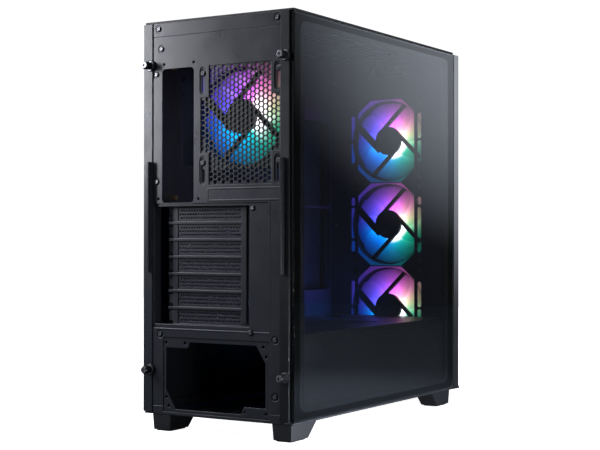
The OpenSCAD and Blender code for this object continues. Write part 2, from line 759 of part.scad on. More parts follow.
module fan_frame(f) {
    color(plastic) in_case() at_fan(f) {
        difference() {
            union() {
                for (z = [0, fan_t - 4]) plate_xy(z, z + 4) round_rect([-fan_size / 2, fan_size / 2],
                    [-fan_size / 2, fan_size / 2], 6);
                cylinder(r = fan_ring_r + 1.6, h = fan_t);
                for (a = [-1, 1], b = [-1, 1]) translate([a * fan_hole_pitch / 2, b * fan_hole_pitch / 2, 0])
                    cylinder(r = 5, h = fan_t);
            }
            translate([0, 0, -1]) cylinder(r = fan_ring_r, h = fan_t + 2, $fn = 96);
            for (a = [-1, 1], b = [-1, 1]) translate([a * fan_hole_pitch / 2, b * fan_hole_pitch / 2, -1])
                cylinder(r = 2.15, h = fan_t + 2);
        }
        difference() {
            union() {
                plate_xy(0.4, strut_t) intersection() {
                    rotate(45) struts();
                    circle(fan_ring_r + 0.5);
                }
                cylinder(r = hub_r, h = strut_t);
                cylinder(r = 3.4, h = 16);
            }
            translate([0, 0, 2]) cylinder(r = bore_r, h = 20);
        }
    }
}

// The wound core and its lamp board, round the bearing tube.
module fan_motor(f) {
    color([0.5, 0.27, 0.14]) in_case() at_fan(f) difference() {
        union() {
            translate([0, 0, strut_t + 0.2]) cylinder(r = 16.2, h = 1.4);
            translate([0, 0, strut_t + 1.5]) cylinder(r = 13.4, h = 8.5);
        }
        cylinder(r = 3.4, h = 30);
        for (k = [0:3]) rotate(45 + k * 90) translate([8, -1.1, strut_t + 1.7]) cube([8, 2.2, 9]);
    }
}

blade_r = 55.6;
cap_r = 19.8;

module fan_rotor(f) {
    z0 = strut_t + 0.6;
    z1 = fan_t - 1.5;
    color([0.9, 0.92, 0.95, 0.8]) in_case() at_fan(f) {
        difference() {
            translate([0, 0, z0]) cylinder(r = cap_r, h = z1 - z0);
            translate([0, 0, z0 - 1]) cylinder(r = cap_r - 1.8, h = z1 - z0 - 0.8);
        }
        translate([0, 0, 2.8]) cylinder(r = shaft_r, h = z1 - 4);
        for (k = [0 : blade_count - 1]) rotate(k * 360 / blade_count) intersection() {
            translate([0, 0, z0 + 0.6]) difference() {
                cylinder(r = blade_r, h = z1 - z0 - 1.2, $fn = 96);
                translate([0, 0, -1]) cylinder(r = cap_r - 0.8, h = 20);
            }
            translate([cap_r - 2, 0, (z0 + z1) / 2]) rotate([32, 0, 0])
                translate([0, -16, -0.9]) cube([60, 32, 1.8]);
        }
    }
}

module pan_screw(r) {
    difference() {
        union() {
            cylinder(r = r, h = 1);
            translate([0, 0, 1]) cylinder(r1 = r, r2 = r * 0.66, h = 0.8);
        }
        for (a = [0, 90]) rotate(a) translate([-r * 0.6, -0.35, 1]) cube([r * 1.2, 0.7, 2]);
    }
}

module fan_screws() {
    color("silver") in_case() for (f = all_fans, a = [-1, 1], b = [-1, 1])
        translate([f[0] + a * fan_hole_pitch / 2, f[2], f[1] + b * fan_hole_pitch / 2]) {
            lift = f[2] < -100 ? sheet : -sheet - f[2];
            translate([0, lift, 0]) rotate([-90, 0, 0]) pan_screw(3.4);
            translate([0, lift + 0.1, 0]) rotate([90, 0, 0]) cylinder(r = 2, h = 9);
        }
}

module wall_screws() {
    color([0.1, 0.1, 0.1]) in_case() {
        for (p = screw_spots) translate([p[0], -0.5, p[1]]) rotate([-90, 0, 0]) pan_screw(3.1);
        for (p = press_screw_spots) translate([p[0], p[2], p[1]]) rotate([-90, 0, 0]) pan_screw(3.1);
    }
}

// ---- Drives ----

cage_x = [-66, 60];
cage_y = [-395, -300];
cage_z = [sheet, 70];

module drive_cage() {
    color(dark_steel) in_case() {
        for (x = cage_x) wall_yz(x - 0.6, x + 0.6) difference() {
            rect(cage_y, cage_z);
            for (y = [cage_y[0] + 22, cage_y[1] - 22]) slot(y, [14, 56], 14);
        }
        plate_xy(cage_z[1], cage_z[1] + sheet) rect([cage_x[0] - 0.6, cage_x[1] + 0.6], cage_y);
        for (s = [0, 1], k = [0, 1]) {
            x = cage_x[s] + (s == 0 ? 0.5 : -5.5);
            block([x, x + 5], [cage_y[0] + 5, cage_y[1] - 5], [4.5 + k * 31, 6 + k * 31]);
        }
    }
}

module drive_tray(k) {
    z = 6.2 + k * 31;
    x = [cage_x[0] + 1.2, cage_x[1] - 1.2];
    color(plastic) in_case() difference() {
        block(x, [cage_y[0] + 2, cage_y[1] - 2], [z, z + 24]);
        block([x[0] + 3, x[1] - 3], [cage_y[0] + 6, cage_y[1] + 3], [z + 2.5, z + 30]);
        block([x[0] + 14, x[1] - 14], [cage_y[0] + 22, cage_y[1] - 22], [z - 1, z + 6]);
    }
}

base_pan();
rear_panel();
rear_fan_grille();
slot_frame();
top_panel();
front_wall();
motherboard_tray();
psu_shroud();
psu_bracket();
slot_cover(0);  // slot_cover_1
slot_cover(1);  // slot_cover_2
slot_cover(2);  // slot_cover_3
slot_cover(3);  // slot_cover_4
slot_cover(4);  // slot_cover_5
slot_cover(5);  // slot_cover_6
slot_cover(6);  // slot_cover_7
slot_screws();
steel_side_panel();
glass_pane();
glass_frame();
glass_seal();
thumbscrew(thumb_x, thumb_top_z);  // thumbscrew_steel_top
thumbscrew(thumb_x, thumb_low_z);  // thumbscrew_steel_low
thumbscrew(-thumb_x, thumb_top_z);  // thumbscrew_glass_top
thumbscrew(-thumb_x, thumb_low_z);  // thumbscrew_glass_low
front_bezel();
front_mesh();
front_filter();
top_filter_frame();
top_filter_mesh();
bottom_filter_frame();
bottom_filter_mesh();
foot(foot_steel_x, foot_rear_y, -1);  // foot_rear_steel
foot(foot_glass_x, foot_rear_y, -1);  // foot_rear_glass
foot(foot_steel_x, foot_front_y, 1);  // foot_front_steel
foot(foot_glass_x, foot_front_y, 1);  // foot_front_glass
foot_pads();
fan_frame(rear_fan);  // fan_frame_rear
fan_frame(front_fans[2]);  // fan_frame_high
fan_frame(front_fans[1]);  // fan_frame_mid
fan_frame(front_fans[0]);  // fan_frame_low
fan_rotor(rear_fan);  // fan_rotor_rear
fan_rotor(front_fans[2]);  // fan_rotor_high
fan_rotor(front_fans[1]);  // fan_rotor_mid
fan_rotor(front_fans[0]);  // fan_rotor_low
fan_motor(rear_fan);  // fan_motor_rear
fan_motor(front_fans[2]);  // fan_motor_high
fan_motor(front_fans[1]);  // fan_motor_mid
fan_motor(front_fans[0]);  // fan_motor_low
fan_screws();
power_button();
light_button();
io_board();
io_ports();
drive_cage();
drive_tray(0);  // drive_tray_1
drive_tray(1);  // drive_tray_2
standoffs();
wall_screws();
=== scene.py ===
"""The looks of a desktop computer tower: materials, lit fans, fine meshes, light and camera."""
import json
import math

import bmesh
import bpy
from mathutils import Matrix, Vector

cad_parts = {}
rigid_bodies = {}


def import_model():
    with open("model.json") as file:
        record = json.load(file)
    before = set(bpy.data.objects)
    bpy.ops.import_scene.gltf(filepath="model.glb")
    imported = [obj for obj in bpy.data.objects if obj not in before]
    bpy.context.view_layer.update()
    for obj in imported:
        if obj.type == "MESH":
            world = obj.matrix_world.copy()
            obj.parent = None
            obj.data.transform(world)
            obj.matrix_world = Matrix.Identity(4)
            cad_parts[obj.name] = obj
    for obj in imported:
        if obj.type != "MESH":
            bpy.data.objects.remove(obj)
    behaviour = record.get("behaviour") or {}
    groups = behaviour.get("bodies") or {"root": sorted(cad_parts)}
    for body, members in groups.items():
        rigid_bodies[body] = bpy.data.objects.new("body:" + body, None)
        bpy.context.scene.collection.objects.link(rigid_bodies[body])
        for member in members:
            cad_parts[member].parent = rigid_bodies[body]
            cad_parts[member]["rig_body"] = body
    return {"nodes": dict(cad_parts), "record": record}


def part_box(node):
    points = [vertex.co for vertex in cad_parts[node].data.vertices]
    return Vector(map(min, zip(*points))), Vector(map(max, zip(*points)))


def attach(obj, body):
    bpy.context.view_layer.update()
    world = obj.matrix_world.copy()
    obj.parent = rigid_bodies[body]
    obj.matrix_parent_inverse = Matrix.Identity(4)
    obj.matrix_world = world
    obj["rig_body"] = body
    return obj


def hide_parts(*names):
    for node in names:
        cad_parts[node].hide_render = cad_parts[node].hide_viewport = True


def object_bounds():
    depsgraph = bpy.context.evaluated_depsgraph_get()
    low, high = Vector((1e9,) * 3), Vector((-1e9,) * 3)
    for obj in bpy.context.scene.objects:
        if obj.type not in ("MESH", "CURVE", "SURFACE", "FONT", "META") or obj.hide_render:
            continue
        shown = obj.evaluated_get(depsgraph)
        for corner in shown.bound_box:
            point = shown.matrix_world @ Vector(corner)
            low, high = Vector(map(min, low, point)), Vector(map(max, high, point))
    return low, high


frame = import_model()
cad_low, cad_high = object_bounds()
NODES = frame["nodes"]
MM = 0.001
FANS = ("rear", "high", "mid", "low")

EDGE_SAMPLES = 6
# The side painted edge light comes from, above and the steel panel's side: edges leaning towards it get a
# painted highlight, edges leaning away painted shade
PAINTED_LIGHT_SIDE = (0.45, 0.0, 0.89)
# Near black for painted shade: in seams, corners and holes, and on edges leaning away from the light
PAINTED_SHADE_BLACK = (0.001, 0.001, 0.001)


# ---- Node helpers ----

class Tree:
    """A material's node tree, with one Principled shader at its end."""

    def __init__(self, name):
        self.material = bpy.data.materials.new(name)
        self.material.use_nodes = True
        self.nodes = self.material.node_tree.nodes
        self.links = self.material.node_tree.links
        self.shader = self.nodes["Principled BSDF"]
        self.coords = self.nodes.new("ShaderNodeTexCoord").outputs["Object"]

    def link(self, source, target):
        """Links an output to an input."""
        self.links.new(source, target)

    def put(self, socket, value):
        """Sets a socket to a plain value, or links it to an output."""
        if isinstance(value, bpy.types.NodeSocket):
            self.link(value, socket)
        else:
            socket.default_value = value

    def math(self, operation, a, b=0.0, clamp=False):
        """The result of a sum on numbers, each plain or from a node."""
        node = self.nodes.new("ShaderNodeMath")
        node.operation = operation
        node.use_clamp = clamp
        self.put(node.inputs[0], a)
        self.put(node.inputs[1], b)
        return node.outputs[0]

    def vector(self, operation, a, b=(0.0, 0.0, 0.0), output=0):
        """The result of a sum on vectors, each plain or from a node."""
        node = self.nodes.new("ShaderNodeVectorMath")
        node.operation = operation
        self.put(node.inputs[0], a)
        self.put(node.inputs[1], b)
        return node.outputs[output]

    def remap(self, value, low, high, to_low=0.0, to_high=1.0, smooth=False):
        """A number moved from one range to another and held inside it."""
        node = self.nodes.new("ShaderNodeMapRange")
        node.interpolation_type = "SMOOTHSTEP" if smooth else "LINEAR"
        self.put(node.inputs["Value"], value)
        for name, number in (("From Min", low), ("From Max", high), ("To Min", to_low), ("To Max", to_high)):
            self.put(node.inputs[name], number)
        return node.outputs["Result"]

    def noise(self, scale, detail=2.0, roughness=0.5, coords=None):
        """A noise pattern from about 0.2 to 0.8 in the object's own coordinates."""
        node = self.nodes.new("ShaderNodeTexNoise")
        self.link(coords or self.coords, node.inputs["Vector"])
        node.inputs["Scale"].default_value = scale
        node.inputs["Detail"].default_value = detail
        node.inputs["Roughness"].default_value = roughness
        return node.outputs["Fac"]

    def mix(self, factor, a, b):
        """Colour a at factor 0, colour b at factor 1."""
        node = self.nodes.new("ShaderNodeMix")
        node.data_type = "RGBA"
        self.put(node.inputs["Factor"], factor)
        self.put(node.inputs["A"], rgba(a))
        self.put(node.inputs["B"], rgba(b))
        return node.outputs["Result"]

    def ramp(self, factor, stops):
        """A colour looked up along a row of (place, colour) stops."""
        node = self.nodes.new("ShaderNodeValToRGB")
        self.link(factor, node.inputs["Fac"])
        elements = node.color_ramp.elements
        while len(elements) < len(stops):
            elements.new(0.5)
        for element, (place, colour) in zip(elements, stops):
            element.position = place
            element.color = rgba(colour)
        return node.outputs["Color"]

    def split(self, vector):
        """The X, Y and Z of a vector."""
        node = self.nodes.new("ShaderNodeSeparateXYZ")
        self.link(vector, node.inputs[0])
        return node.outputs

    def join(self, x, y, z):
        """A vector from three numbers."""
        node = self.nodes.new("ShaderNodeCombineXYZ")
        for socket, value in zip(node.inputs, (x, y, z)):
            self.put(socket, value)
        return node.outputs[0]

    def scaled(self, colour, factor):
        """A colour multiplied by a number from a node."""
        return self.vector("MULTIPLY", colour, self.join(factor, factor, factor))

    def round_edges(self, radius):
        """The normal with edges rounded off by radius, and how near an edge a point is."""
        bevel = self.nodes.new("ShaderNodeBevel")
        bevel.samples = EDGE_SAMPLES
        bevel.inputs["Radius"].default_value = radius
        self.true_normal = self.nodes.new("ShaderNodeNewGeometry").outputs["Normal"]
        along = self.vector("DOT_PRODUCT", bevel.outputs[0], self.true_normal, output="Value")
        return bevel.outputs[0], self.remap(along, 0.995, 0.86)

    def edge_sides(self, normal):
        """How far a rounded normal leans up and to the steel side, and how far it leans the other way: the
        masks for painted edge highlights and painted edge shade.
        """
        lean = self.vector("SUBTRACT", normal, self.true_normal)
        lean = self.vector("DOT_PRODUCT", lean, PAINTED_LIGHT_SIDE, output="Value")
        return self.remap(lean, 0.06, 0.5), self.remap(lean, -0.06, -0.5)

    def openness(self, reach):
        """How open a point is, used to paint shade: near 0 in seams, corners and small holes, 1 on open
        faces.
        """
        shade = self.nodes.new("ShaderNodeAmbientOcclusion")
        shade.samples = EDGE_SAMPLES
        shade.inputs["Distance"].default_value = reach
        return self.remap(shade.outputs["AO"], 0.35, 0.95)

    def bump(self, height, depth, strength=1.0, normal=None):
        """A normal tilted by a height pattern that is depth metres deep."""
        node = self.nodes.new("ShaderNodeBump")
        node.inputs["Strength"].default_value = strength
        node.inputs["Distance"].default_value = depth
        self.link(height, node.inputs["Height"])
        if normal is not None:
            self.link(normal, node.inputs["Normal"])
        return node.outputs[0]

    def set(self, **values):
        """Sets or links inputs of the Principled shader, with _ for each space in a name."""
        for name, value in values.items():
            self.put(self.shader.inputs[name.replace("_", " ")], value)


def toned(colour, factor, lift=0.0):
    """A plain colour multiplied by a number, with a little grey added if asked, and never past white."""
    return tuple(min(1.0, c * factor + lift) for c in colour)


def rgba(colour):
    """Three numbers as a colour with alpha; sockets and full colours pass through."""
    if isinstance(colour, tuple) and len(colour) == 3:
        return (*colour, 1.0)
    return colour


# ---- Materials ----

def powder_coat(name, colour, rough=0.42, edge=0.5, radius=0.5 * MM):
    """Baked powder paint on steel: orange peel, clouded tone, painted shade in seams, corners and holes, a
    painted highlight on edges leaning up and to the steel side and painted shade on edges leaning away; edge
    sets the highlight's strength.
    """
    t = Tree(name)
    cloud = t.noise(7.0, 4.0, 0.6)
    speck = t.noise(1400.0, 2.0)
    peel = t.noise(520.0, 3.0, 0.55)
    normal = t.round_edges(radius)[0]
    paint = t.mix(t.remap(speck, 0.42, 0.62), toned(colour, 0.86), toned(colour, 1.16))
    paint = t.scaled(paint, t.remap(cloud, 0.3, 0.7, 0.86, 1.14))
    # Painted shade: the paint goes near black in seams, corners and small holes
    hollow_shaded = t.mix(t.openness(2.5 * MM), PAINTED_SHADE_BLACK, paint)
    upper, lower = t.edge_sides(normal)
    # Painted shade on edges that lean down and away from the steel side
    shaded = t.mix(t.math("MULTIPLY", lower, 0.85), hollow_shaded, PAINTED_SHADE_BLACK)
    # Painted highlight on edges that lean up and to the steel side, broken by noise, its strength set by edge
    edge_highlight = t.math("MULTIPLY", upper, t.remap(t.noise(60.0, 4.0, 0.7), 0.3, 0.75, 0.6, 1.0))
    edge_highlight = t.math("MULTIPLY", edge_highlight, edge, clamp=True)
    t.set(Base_Color=t.mix(edge_highlight, shaded, toned(colour, 6.0, 0.10)))
    t.set(Roughness=t.remap(t.noise(24.0, 5.0, 0.65), 0.3, 0.7, rough - 0.05, rough + 0.07))
    t.set(Normal=t.bump(peel, 0.03 * MM, 0.5, t.bump(speck, 0.01 * MM, 0.5, normal)))
    return t.material


def plastic_base(t, colour, rough, spark):
    """Sets a spark-eroded texture on a material and returns its clouded colour, paler at the edges as a
    painted highlight.
    """
    texture = t.noise(900.0, 3.0, 0.6)
    normal, near_edge = t.round_edges(0.4 * MM)
    t.set(Roughness=t.remap(texture, 0.25, 0.75, rough - 0.08, rough + 0.08))
    t.set(Normal=t.bump(texture, 0.04 * MM, spark, normal))
    base = t.mix(t.remap(t.noise(11.0, 3.0), 0.3, 0.7), toned(colour, 0.82), toned(colour, 1.2))
    # Paler near edges: a painted edge highlight
    return t.mix(t.math("MULTIPLY", near_edge, 0.4), base, toned(colour, 2.2, 0.015))


def moulded_plastic(name, colour, rough=0.5, spark=0.5):
    """Moulded plastic with a fine spark-eroded texture."""
    t = Tree(name)
    t.set(Base_Color=plastic_base(t, colour, rough, spark))
    return t.material


def bare_metal(name, colour, rough=0.3, brushed=0.3):
    """Plated or turned metal with fine marks and slightly dull patches."""
    t = Tree(name)
    stretched = t.vector("MULTIPLY", t.coords, (2600.0, 260.0, 2600.0))
    marks = t.noise(1.0, 3.0, coords=stretched)
    patches = t.noise(240.0, 3.0)
    normal, near_edge = t.round_edges(0.2 * MM)
    base = t.mix(t.remap(patches, 0.35, 0.7), toned(colour, 0.72), colour)
    # Paler near edges: a painted edge highlight
    t.set(Base_Color=t.mix(t.math("MULTIPLY", near_edge, 0.5), base, toned(colour, 1.5)))
    t.set(Roughness=t.remap(patches, 0.3, 0.75, rough - 0.08, rough + 0.14))
    t.set(Metallic=1.0, Normal=t.bump(marks, 0.01 * MM, brushed, normal))
    return t.material


def screw_finish(name, face, side):
    """A black screw whose flat face, turned to the rear, is painted paler and more metallic than its rim and
    recess: a painted highlight.
    """
    t = Tree(name)
    patches = t.noise(300.0, 3.0)
    normal = t.round_edges(0.5 * MM)[0]
    facing = t.vector("DOT_PRODUCT", normal, (0.0, 1.0, 0.0), output="Value")
    # Painted highlight on the face turned to the rear, broken by patches
    flat = t.math("MULTIPLY", t.remap(facing, 0.90, 0.985), t.remap(patches, 0.3, 0.7, 0.7, 1.0))
    t.set(Base_Color=t.mix(flat, side, face), Metallic=t.remap(flat, 0.0, 1.0, 0.2, 0.9))
    t.set(Roughness=t.remap(patches, 0.3, 0.75, 0.22, 0.44), Normal=normal)
    return t.material


def bezel_finish(name, colour, highlight_colour):
    """Moulded plastic with a painted highlight along its glass-side edge that fades towards the bottom."""
    t = Tree(name)
    base = plastic_base(t, colour, 0.38, 0.4)
    low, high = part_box("front_bezel")
    x, _, z = t.split(t.coords)
    side = t.vector("DOT_PRODUCT", t.true_normal, (-1.0, 0.0, 0.0), output="Value")
    side = t.math("MULTIPLY", t.remap(side, 0.6, 0.9), t.remap(x, low.x + 7.2 * MM, low.x + 5.2 * MM))
    side = t.math("MULTIPLY", side, t.remap(z, low.z + 80 * MM, high.z - 17.5 * MM, smooth=True))
    # Painted highlight on the faces turned to the glass side at its edge, fading towards the bottom
    t.set(Base_Color=t.mix(side, base, highlight_colour))
    return t.material


def woven_filter(name, colour):
    """Nylon filter cloth: threads crossing over and under, dark between them."""
    t = Tree(name)
    x, y, z = t.split(t.coords)
    turns_per_metre = 2 * math.pi / (0.9 * MM)
    across = t.math("MULTIPLY", x, turns_per_metre)
    along = t.math("MULTIPLY", t.math("ADD", y, z), turns_per_metre)
    weave = t.math("MAXIMUM", t.math("SINE", across), t.math("SINE", along))
    thread = t.remap(weave, 0.1, 0.8, smooth=True)
    cloud = t.noise(30.0, 3.0)
    lit = t.mix(t.remap(cloud, 0.3, 0.7), colour, toned(colour, 1.6))
    t.set(Base_Color=t.mix(thread, (0.002, 0.002, 0.002), lit), Roughness=0.75)
    t.set(Normal=t.bump(thread, 0.15 * MM, 0.8))
    return t.material


def foam(name, colour):
    """Closed-cell foam or rubber with fine open pores."""
    t = Tree(name)
    pores = t.noise(1500.0, 3.0, 0.7)
    t.set(Base_Color=t.mix(t.remap(pores, 0.35, 0.65), toned(colour, 0.5), colour))
    t.set(Roughness=t.remap(pores, 0.3, 0.7, 0.78, 0.95), Normal=t.bump(pores, 0.1 * MM, 0.6))
    return t.material


def smoked_glass(name):
    """Tempered glass with a grey tint and a very faint haze of polish marks."""
    t = Tree(name)
    haze = t.noise(16.0, 4.0, 0.6)
    t.set(Base_Color=(0.60, 0.63, 0.66, 1.0), Transmission_Weight=1.0, IOR=1.5)
    t.set(Roughness=t.remap(haze, 0.3, 0.75, 0.0, 0.02))
    return t.material


def circuit_board(name):
    """Green solder mask with paler traces."""
    t = Tree(name)
    x, y, _ = t.split(t.coords)
    lanes = t.math("SINE", t.math("MULTIPLY", t.math("ADD", x, t.math("MULTIPLY", y, 0.5)), 2200.0))
    trace = t.math("MULTIPLY", t.remap(lanes, 0.55, 0.75), t.remap(t.noise(90.0, 1.0), 0.45, 0.55))
    t.set(Base_Color=t.mix(trace, (0.004, 0.035, 0.016), (0.02, 0.12, 0.05)), Roughness=0.28)
    t.set(Normal=t.bump(trace, 0.04 * MM, 0.5))
    return t.material


def copper_winding(name):
    """Enamelled copper wire wound round the stator's arms."""
    t = Tree(name)
    along = t.split(t.coords)[1]
    turns = t.math("SINE", t.math("MULTIPLY", along, 2 * math.pi / (0.45 * MM)))
    wire = t.remap(turns, -0.8, 0.6, smooth=True)
    t.set(Base_Color=t.mix(wire, (0.12, 0.03, 0.01), (0.62, 0.27, 0.12)), Metallic=0.8)
    t.set(Roughness=t.remap(t.noise(300.0), 0.3, 0.7, 0.25, 0.4), Normal=t.bump(wire, 0.12 * MM, 0.8))
    return t.material


# Colours round a lit fan, seen from the rear: (turn from the steel side, through the top at 0.75, colour)
RAINBOW = (
    (0.000, (0.030, 0.070, 0.830)),
    (0.042, (0.000, 0.105, 0.860)),
    (0.125, (0.000, 0.124, 0.756)),
    (0.167, (0.000, 0.150, 0.620)),
    (0.208, (0.000, 0.180, 0.500)),
    (0.250, (0.000, 0.234, 0.470)),
    (0.292, (0.000, 0.271, 0.380)),
    (0.333, (0.000, 0.311, 0.293)),
    (0.375, (0.000, 0.340, 0.230)),
    (0.417, (0.004, 0.345, 0.205)),
    (0.458, (0.040, 0.400, 0.220)),
    (0.500, (0.271, 0.553, 0.289)),
    (0.542, (0.546, 0.540, 0.293)),
    (0.583, (0.726, 0.450, 0.354)),
    (0.625, (0.826, 0.267, 0.467)),
    (0.667, (0.819, 0.162, 0.605)),
    (0.708, (0.680, 0.130, 0.710)),
    (0.750, (0.540, 0.100, 0.810)),
    (0.792, (0.354, 0.079, 0.867)),
    (0.833, (0.254, 0.079, 0.893)),
    (0.875, (0.147, 0.071, 0.859)),
    (0.958, (0.080, 0.072, 0.845)),
    (1.000, (0.030, 0.070, 0.830)),
)


def rainbow(t, centre):
    """The light's colour at a point round a fan's axis, and its place seen from the rear, axis at 0."""
    x, _, z = t.split(t.vector("SUBTRACT", t.coords, centre))
    place = t.join(t.math("MULTIPLY", x, -1.0), z, 0.0)
    turn = t.nodes.new("ShaderNodeTexGradient")
    turn.gradient_type = "RADIAL"
    t.link(place, turn.inputs[0])
    return t.ramp(turn.outputs["Fac"], RAINBOW), place


def lit_blades(name, strength, fade_length, hot_aim, hot_reach):
    """Milky blades lit from the hub: nearly white by the hub on one side, dimmer outwards."""
    t = Tree(name)
    colour, place = rainbow(t, (0.0, 0.0, 0.0))
    radius = t.vector("LENGTH", place, output="Value")
    aside = t.vector("DOT_PRODUCT", place, (*hot_aim, 0.0), output="Value")
    aside = t.math("DIVIDE", aside, t.math("MAXIMUM", radius, 1 * MM))
    level = t.math("EXPONENT", t.math("DIVIDE", t.math("SUBTRACT", 36 * MM, radius), fade_length))
    level = t.math("MULTIPLY", level, t.remap(radius, 50 * MM, 56 * MM, 1.0, 0.7))
    near_hub = t.remap(radius, 21 * MM, hot_reach, 1.0, 0.0, smooth=True)
    hot = t.math("MULTIPLY", near_hub, t.remap(aside, 0.3, 0.9, 0.0, 1.0, smooth=True))
    cyan = t.math("MULTIPLY", t.remap(radius, 24 * MM, 50 * MM, 0.55, 0.0), t.remap(aside, 0.1, -0.6))
    cyan = t.math("MULTIPLY", cyan, t.remap(t.split(place)[1], 6 * MM, -10 * MM))
    colour = t.mix(cyan, colour, (0.0, 0.55, 0.95))
    ripple = t.remap(t.noise(70.0, 3.0), 0.3, 0.7, 0.93, 1.06)
    glow = t.scaled(t.mix(hot, colour, (0.85, 0.80, 0.85)), t.math("MULTIPLY", level, ripple))
    t.set(Base_Color=(0.012, 0.012, 0.014, 1.0), Emission_Color=glow, Emission_Strength=strength)
    t.set(Roughness=t.remap(t.noise(400.0), 0.3, 0.7, 0.25, 0.4))
    return t.material


def lit_fan_frame(name, centre, strength, outer_level, low_level):
    """A smoked fan frame: dark struts and hub, with light let through outside its duct."""
    t = Tree(name)
    colour, place = rainbow(t, tuple(centre))
    radius = t.vector("LENGTH", place, output="Value")
    outside = t.remap(radius, 57.2 * MM, 58.6 * MM)
    fade = t.remap(radius, 57 * MM, 80 * MM, 1.0, outer_level)
    fade = t.math("MULTIPLY", fade, t.remap(t.split(place)[1], -15 * MM, 10 * MM, low_level, 1.0))
    ripple = t.remap(t.noise(40.0), 0.3, 0.7, 0.85, 1.1)
    level = t.math("MULTIPLY", t.math("MULTIPLY", outside, fade), ripple)
    texture = t.noise(900.0, 3.0)
    normal, near_edge = t.round_edges(0.4 * MM)
    # Paler near edges: a painted edge highlight on the dark frame
    t.set(Base_Color=t.mix(t.math("MULTIPLY", near_edge, 0.4), (0.012, 0.012, 0.014), (0.06, 0.06, 0.065)))
    t.set(Emission_Color=t.scaled(colour, level), Emission_Strength=strength)
    t.set(Roughness=t.remap(texture, 0.3, 0.7, 0.38, 0.52), Normal=t.bump(texture, 0.03 * MM, 0.4, normal))
    return t.material


# One finish for each material slot of the record
FINISHES = {
    "case_steel": powder_coat("case_paint", (0.026, 0.028, 0.036), 0.31, radius=0.8 * MM, edge=1.0),
    "inner_steel": powder_coat("inner_paint", (0.013, 0.013, 0.018), 0.42, edge=0.6),
    "slot_steel": powder_coat("slot_paint", (0.032, 0.034, 0.043), 0.32, radius=0.4 * MM, edge=1.3),
    "glass": smoked_glass("smoked_glass"),
    "seal": foam("seal_foam", (0.010, 0.010, 0.011)),
    # The bezel's second colour is its painted glass-side highlight
    "bezel": bezel_finish("bezel_plastic", (0.020, 0.020, 0.023), (0.75, 0.75, 0.77)),
    "mesh": powder_coat("mesh_paint", (0.014, 0.014, 0.016), 0.45, radius=0.2 * MM),
    "filter": woven_filter("filter_weave", (0.030, 0.030, 0.032)),
    "filter_frame": moulded_plastic("filter_plastic", (0.016, 0.016, 0.018), 0.5),
    "foot": moulded_plastic("foot_plastic", (0.022, 0.023, 0.027), 0.46),
    "pad": foam("pad_rubber", (0.016, 0.016, 0.016)),
    "fan_frame": moulded_plastic("fan_plastic", (0.012, 0.012, 0.014), 0.45),
    "fan_rotor": lit_blades("blade_glow_rear", 1.4, 20 * MM, (0.98, 0.10), 44 * MM),
    "copper": copper_winding("copper_winding"),
    # The screws' first colour is the painted highlight on their rear faces
    "black_screw": screw_finish("black_oxide", (0.42, 0.42, 0.45), (0.006, 0.006, 0.008)),
    "bright_screw": bare_metal("zinc_plate", (0.13, 0.13, 0.14), 0.34),
    "brass": bare_metal("turned_brass", (0.72, 0.52, 0.22), 0.28, brushed=0.6),
    "board": circuit_board("circuit_board"),
    "port": bare_metal("port_shell", (0.48, 0.48, 0.50), 0.32),
    "button": moulded_plastic("button_plastic", (0.026, 0.026, 0.030), 0.3, spark=0.2),
}
BLADE_GLOW_FRONT = lit_blades("blade_glow_front", 1.7, 12.5 * MM, (0.77, -0.64), 29 * MM)
GRILLE_PAINT = powder_coat("grille_paint", (0.010, 0.011, 0.014), 0.32, radius=0.5 * MM, edge=0.9)
GLASS_FRAME_PAINT = powder_coat("glass_frame_paint", (0.009, 0.010, 0.013), 0.36, radius=0.6 * MM, edge=0.1)


def dress(obj, material):
    """Gives an object one material."""
    obj.data.materials.clear()
    obj.data.materials.append(material)


# ---- Mesh helpers ----

def make_piece(name, mesh, body, material, replaced=(), place=(0.0, 0.0, 0.0)):
    """Links a mesh as a piece that rides on a body and stands for the replaced CAD nodes."""
    piece = bpy.data.objects.new(name, mesh)
    piece.location = place
    bpy.context.scene.collection.objects.link(piece)
    dress(piece, material)
    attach(piece, body)
    if replaced:
        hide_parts(*replaced)
    return piece


def mesh_from(name, points, faces, sharp_angle=40.0):
    """A smooth-shaded mesh from points and faces, with edges past an angle kept sharp."""
    mesh = bpy.data.meshes.new(name)
    mesh.from_pydata([tuple(p) for p in points], [], [tuple(f) for f in faces])
    mesh.validate()
    mesh.shade_smooth()
    mesh.set_sharp_from_angle(angle=math.radians(sharp_angle))
    return mesh


def body_of(node):
    """The body that a CAD node rides on."""
    return NODES[node]["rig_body"]


def slot_of(node):
    """The record's material slot of a CAD node."""
    return next(s["material_slot"] for s in frame["record"]["subparts"] if s["node"] == node)


def rounded(node, radius):
    """Stands for a CAD node with a copy of it whose sharp edges are rounded."""
    bm = bmesh.new()
    bm.from_mesh(NODES[node].data)
    bmesh.ops.remove_doubles(bm, verts=bm.verts, dist=0.002 * MM)
    bmesh.ops.dissolve_limit(bm, angle_limit=math.radians(1.0), verts=bm.verts, edges=bm.edges)
    mesh = bpy.data.meshes.new(node + "_round")
    bm.to_mesh(mesh)
    bm.free()
    mesh.shade_smooth()
    slot_name = slot_of(node)
    piece = make_piece(node + "_round", mesh, body_of(node), FINISHES[slot_name], (node,))
    bevel = piece.modifiers.new("round_edges", "BEVEL")
    bevel.width = radius
    bevel.segments = 3
    bevel.limit_method = "ANGLE"
    bevel.angle_limit = math.radians(35)
    bevel.miter_outer = "MITER_ARC"
    bevel.use_clamp_overlap = True
    level = piece.modifiers.new("level_faces", "WEIGHTED_NORMAL")
    level.weight = 100
    level.keep_sharp = True
    apply_modifiers(piece)
    return piece


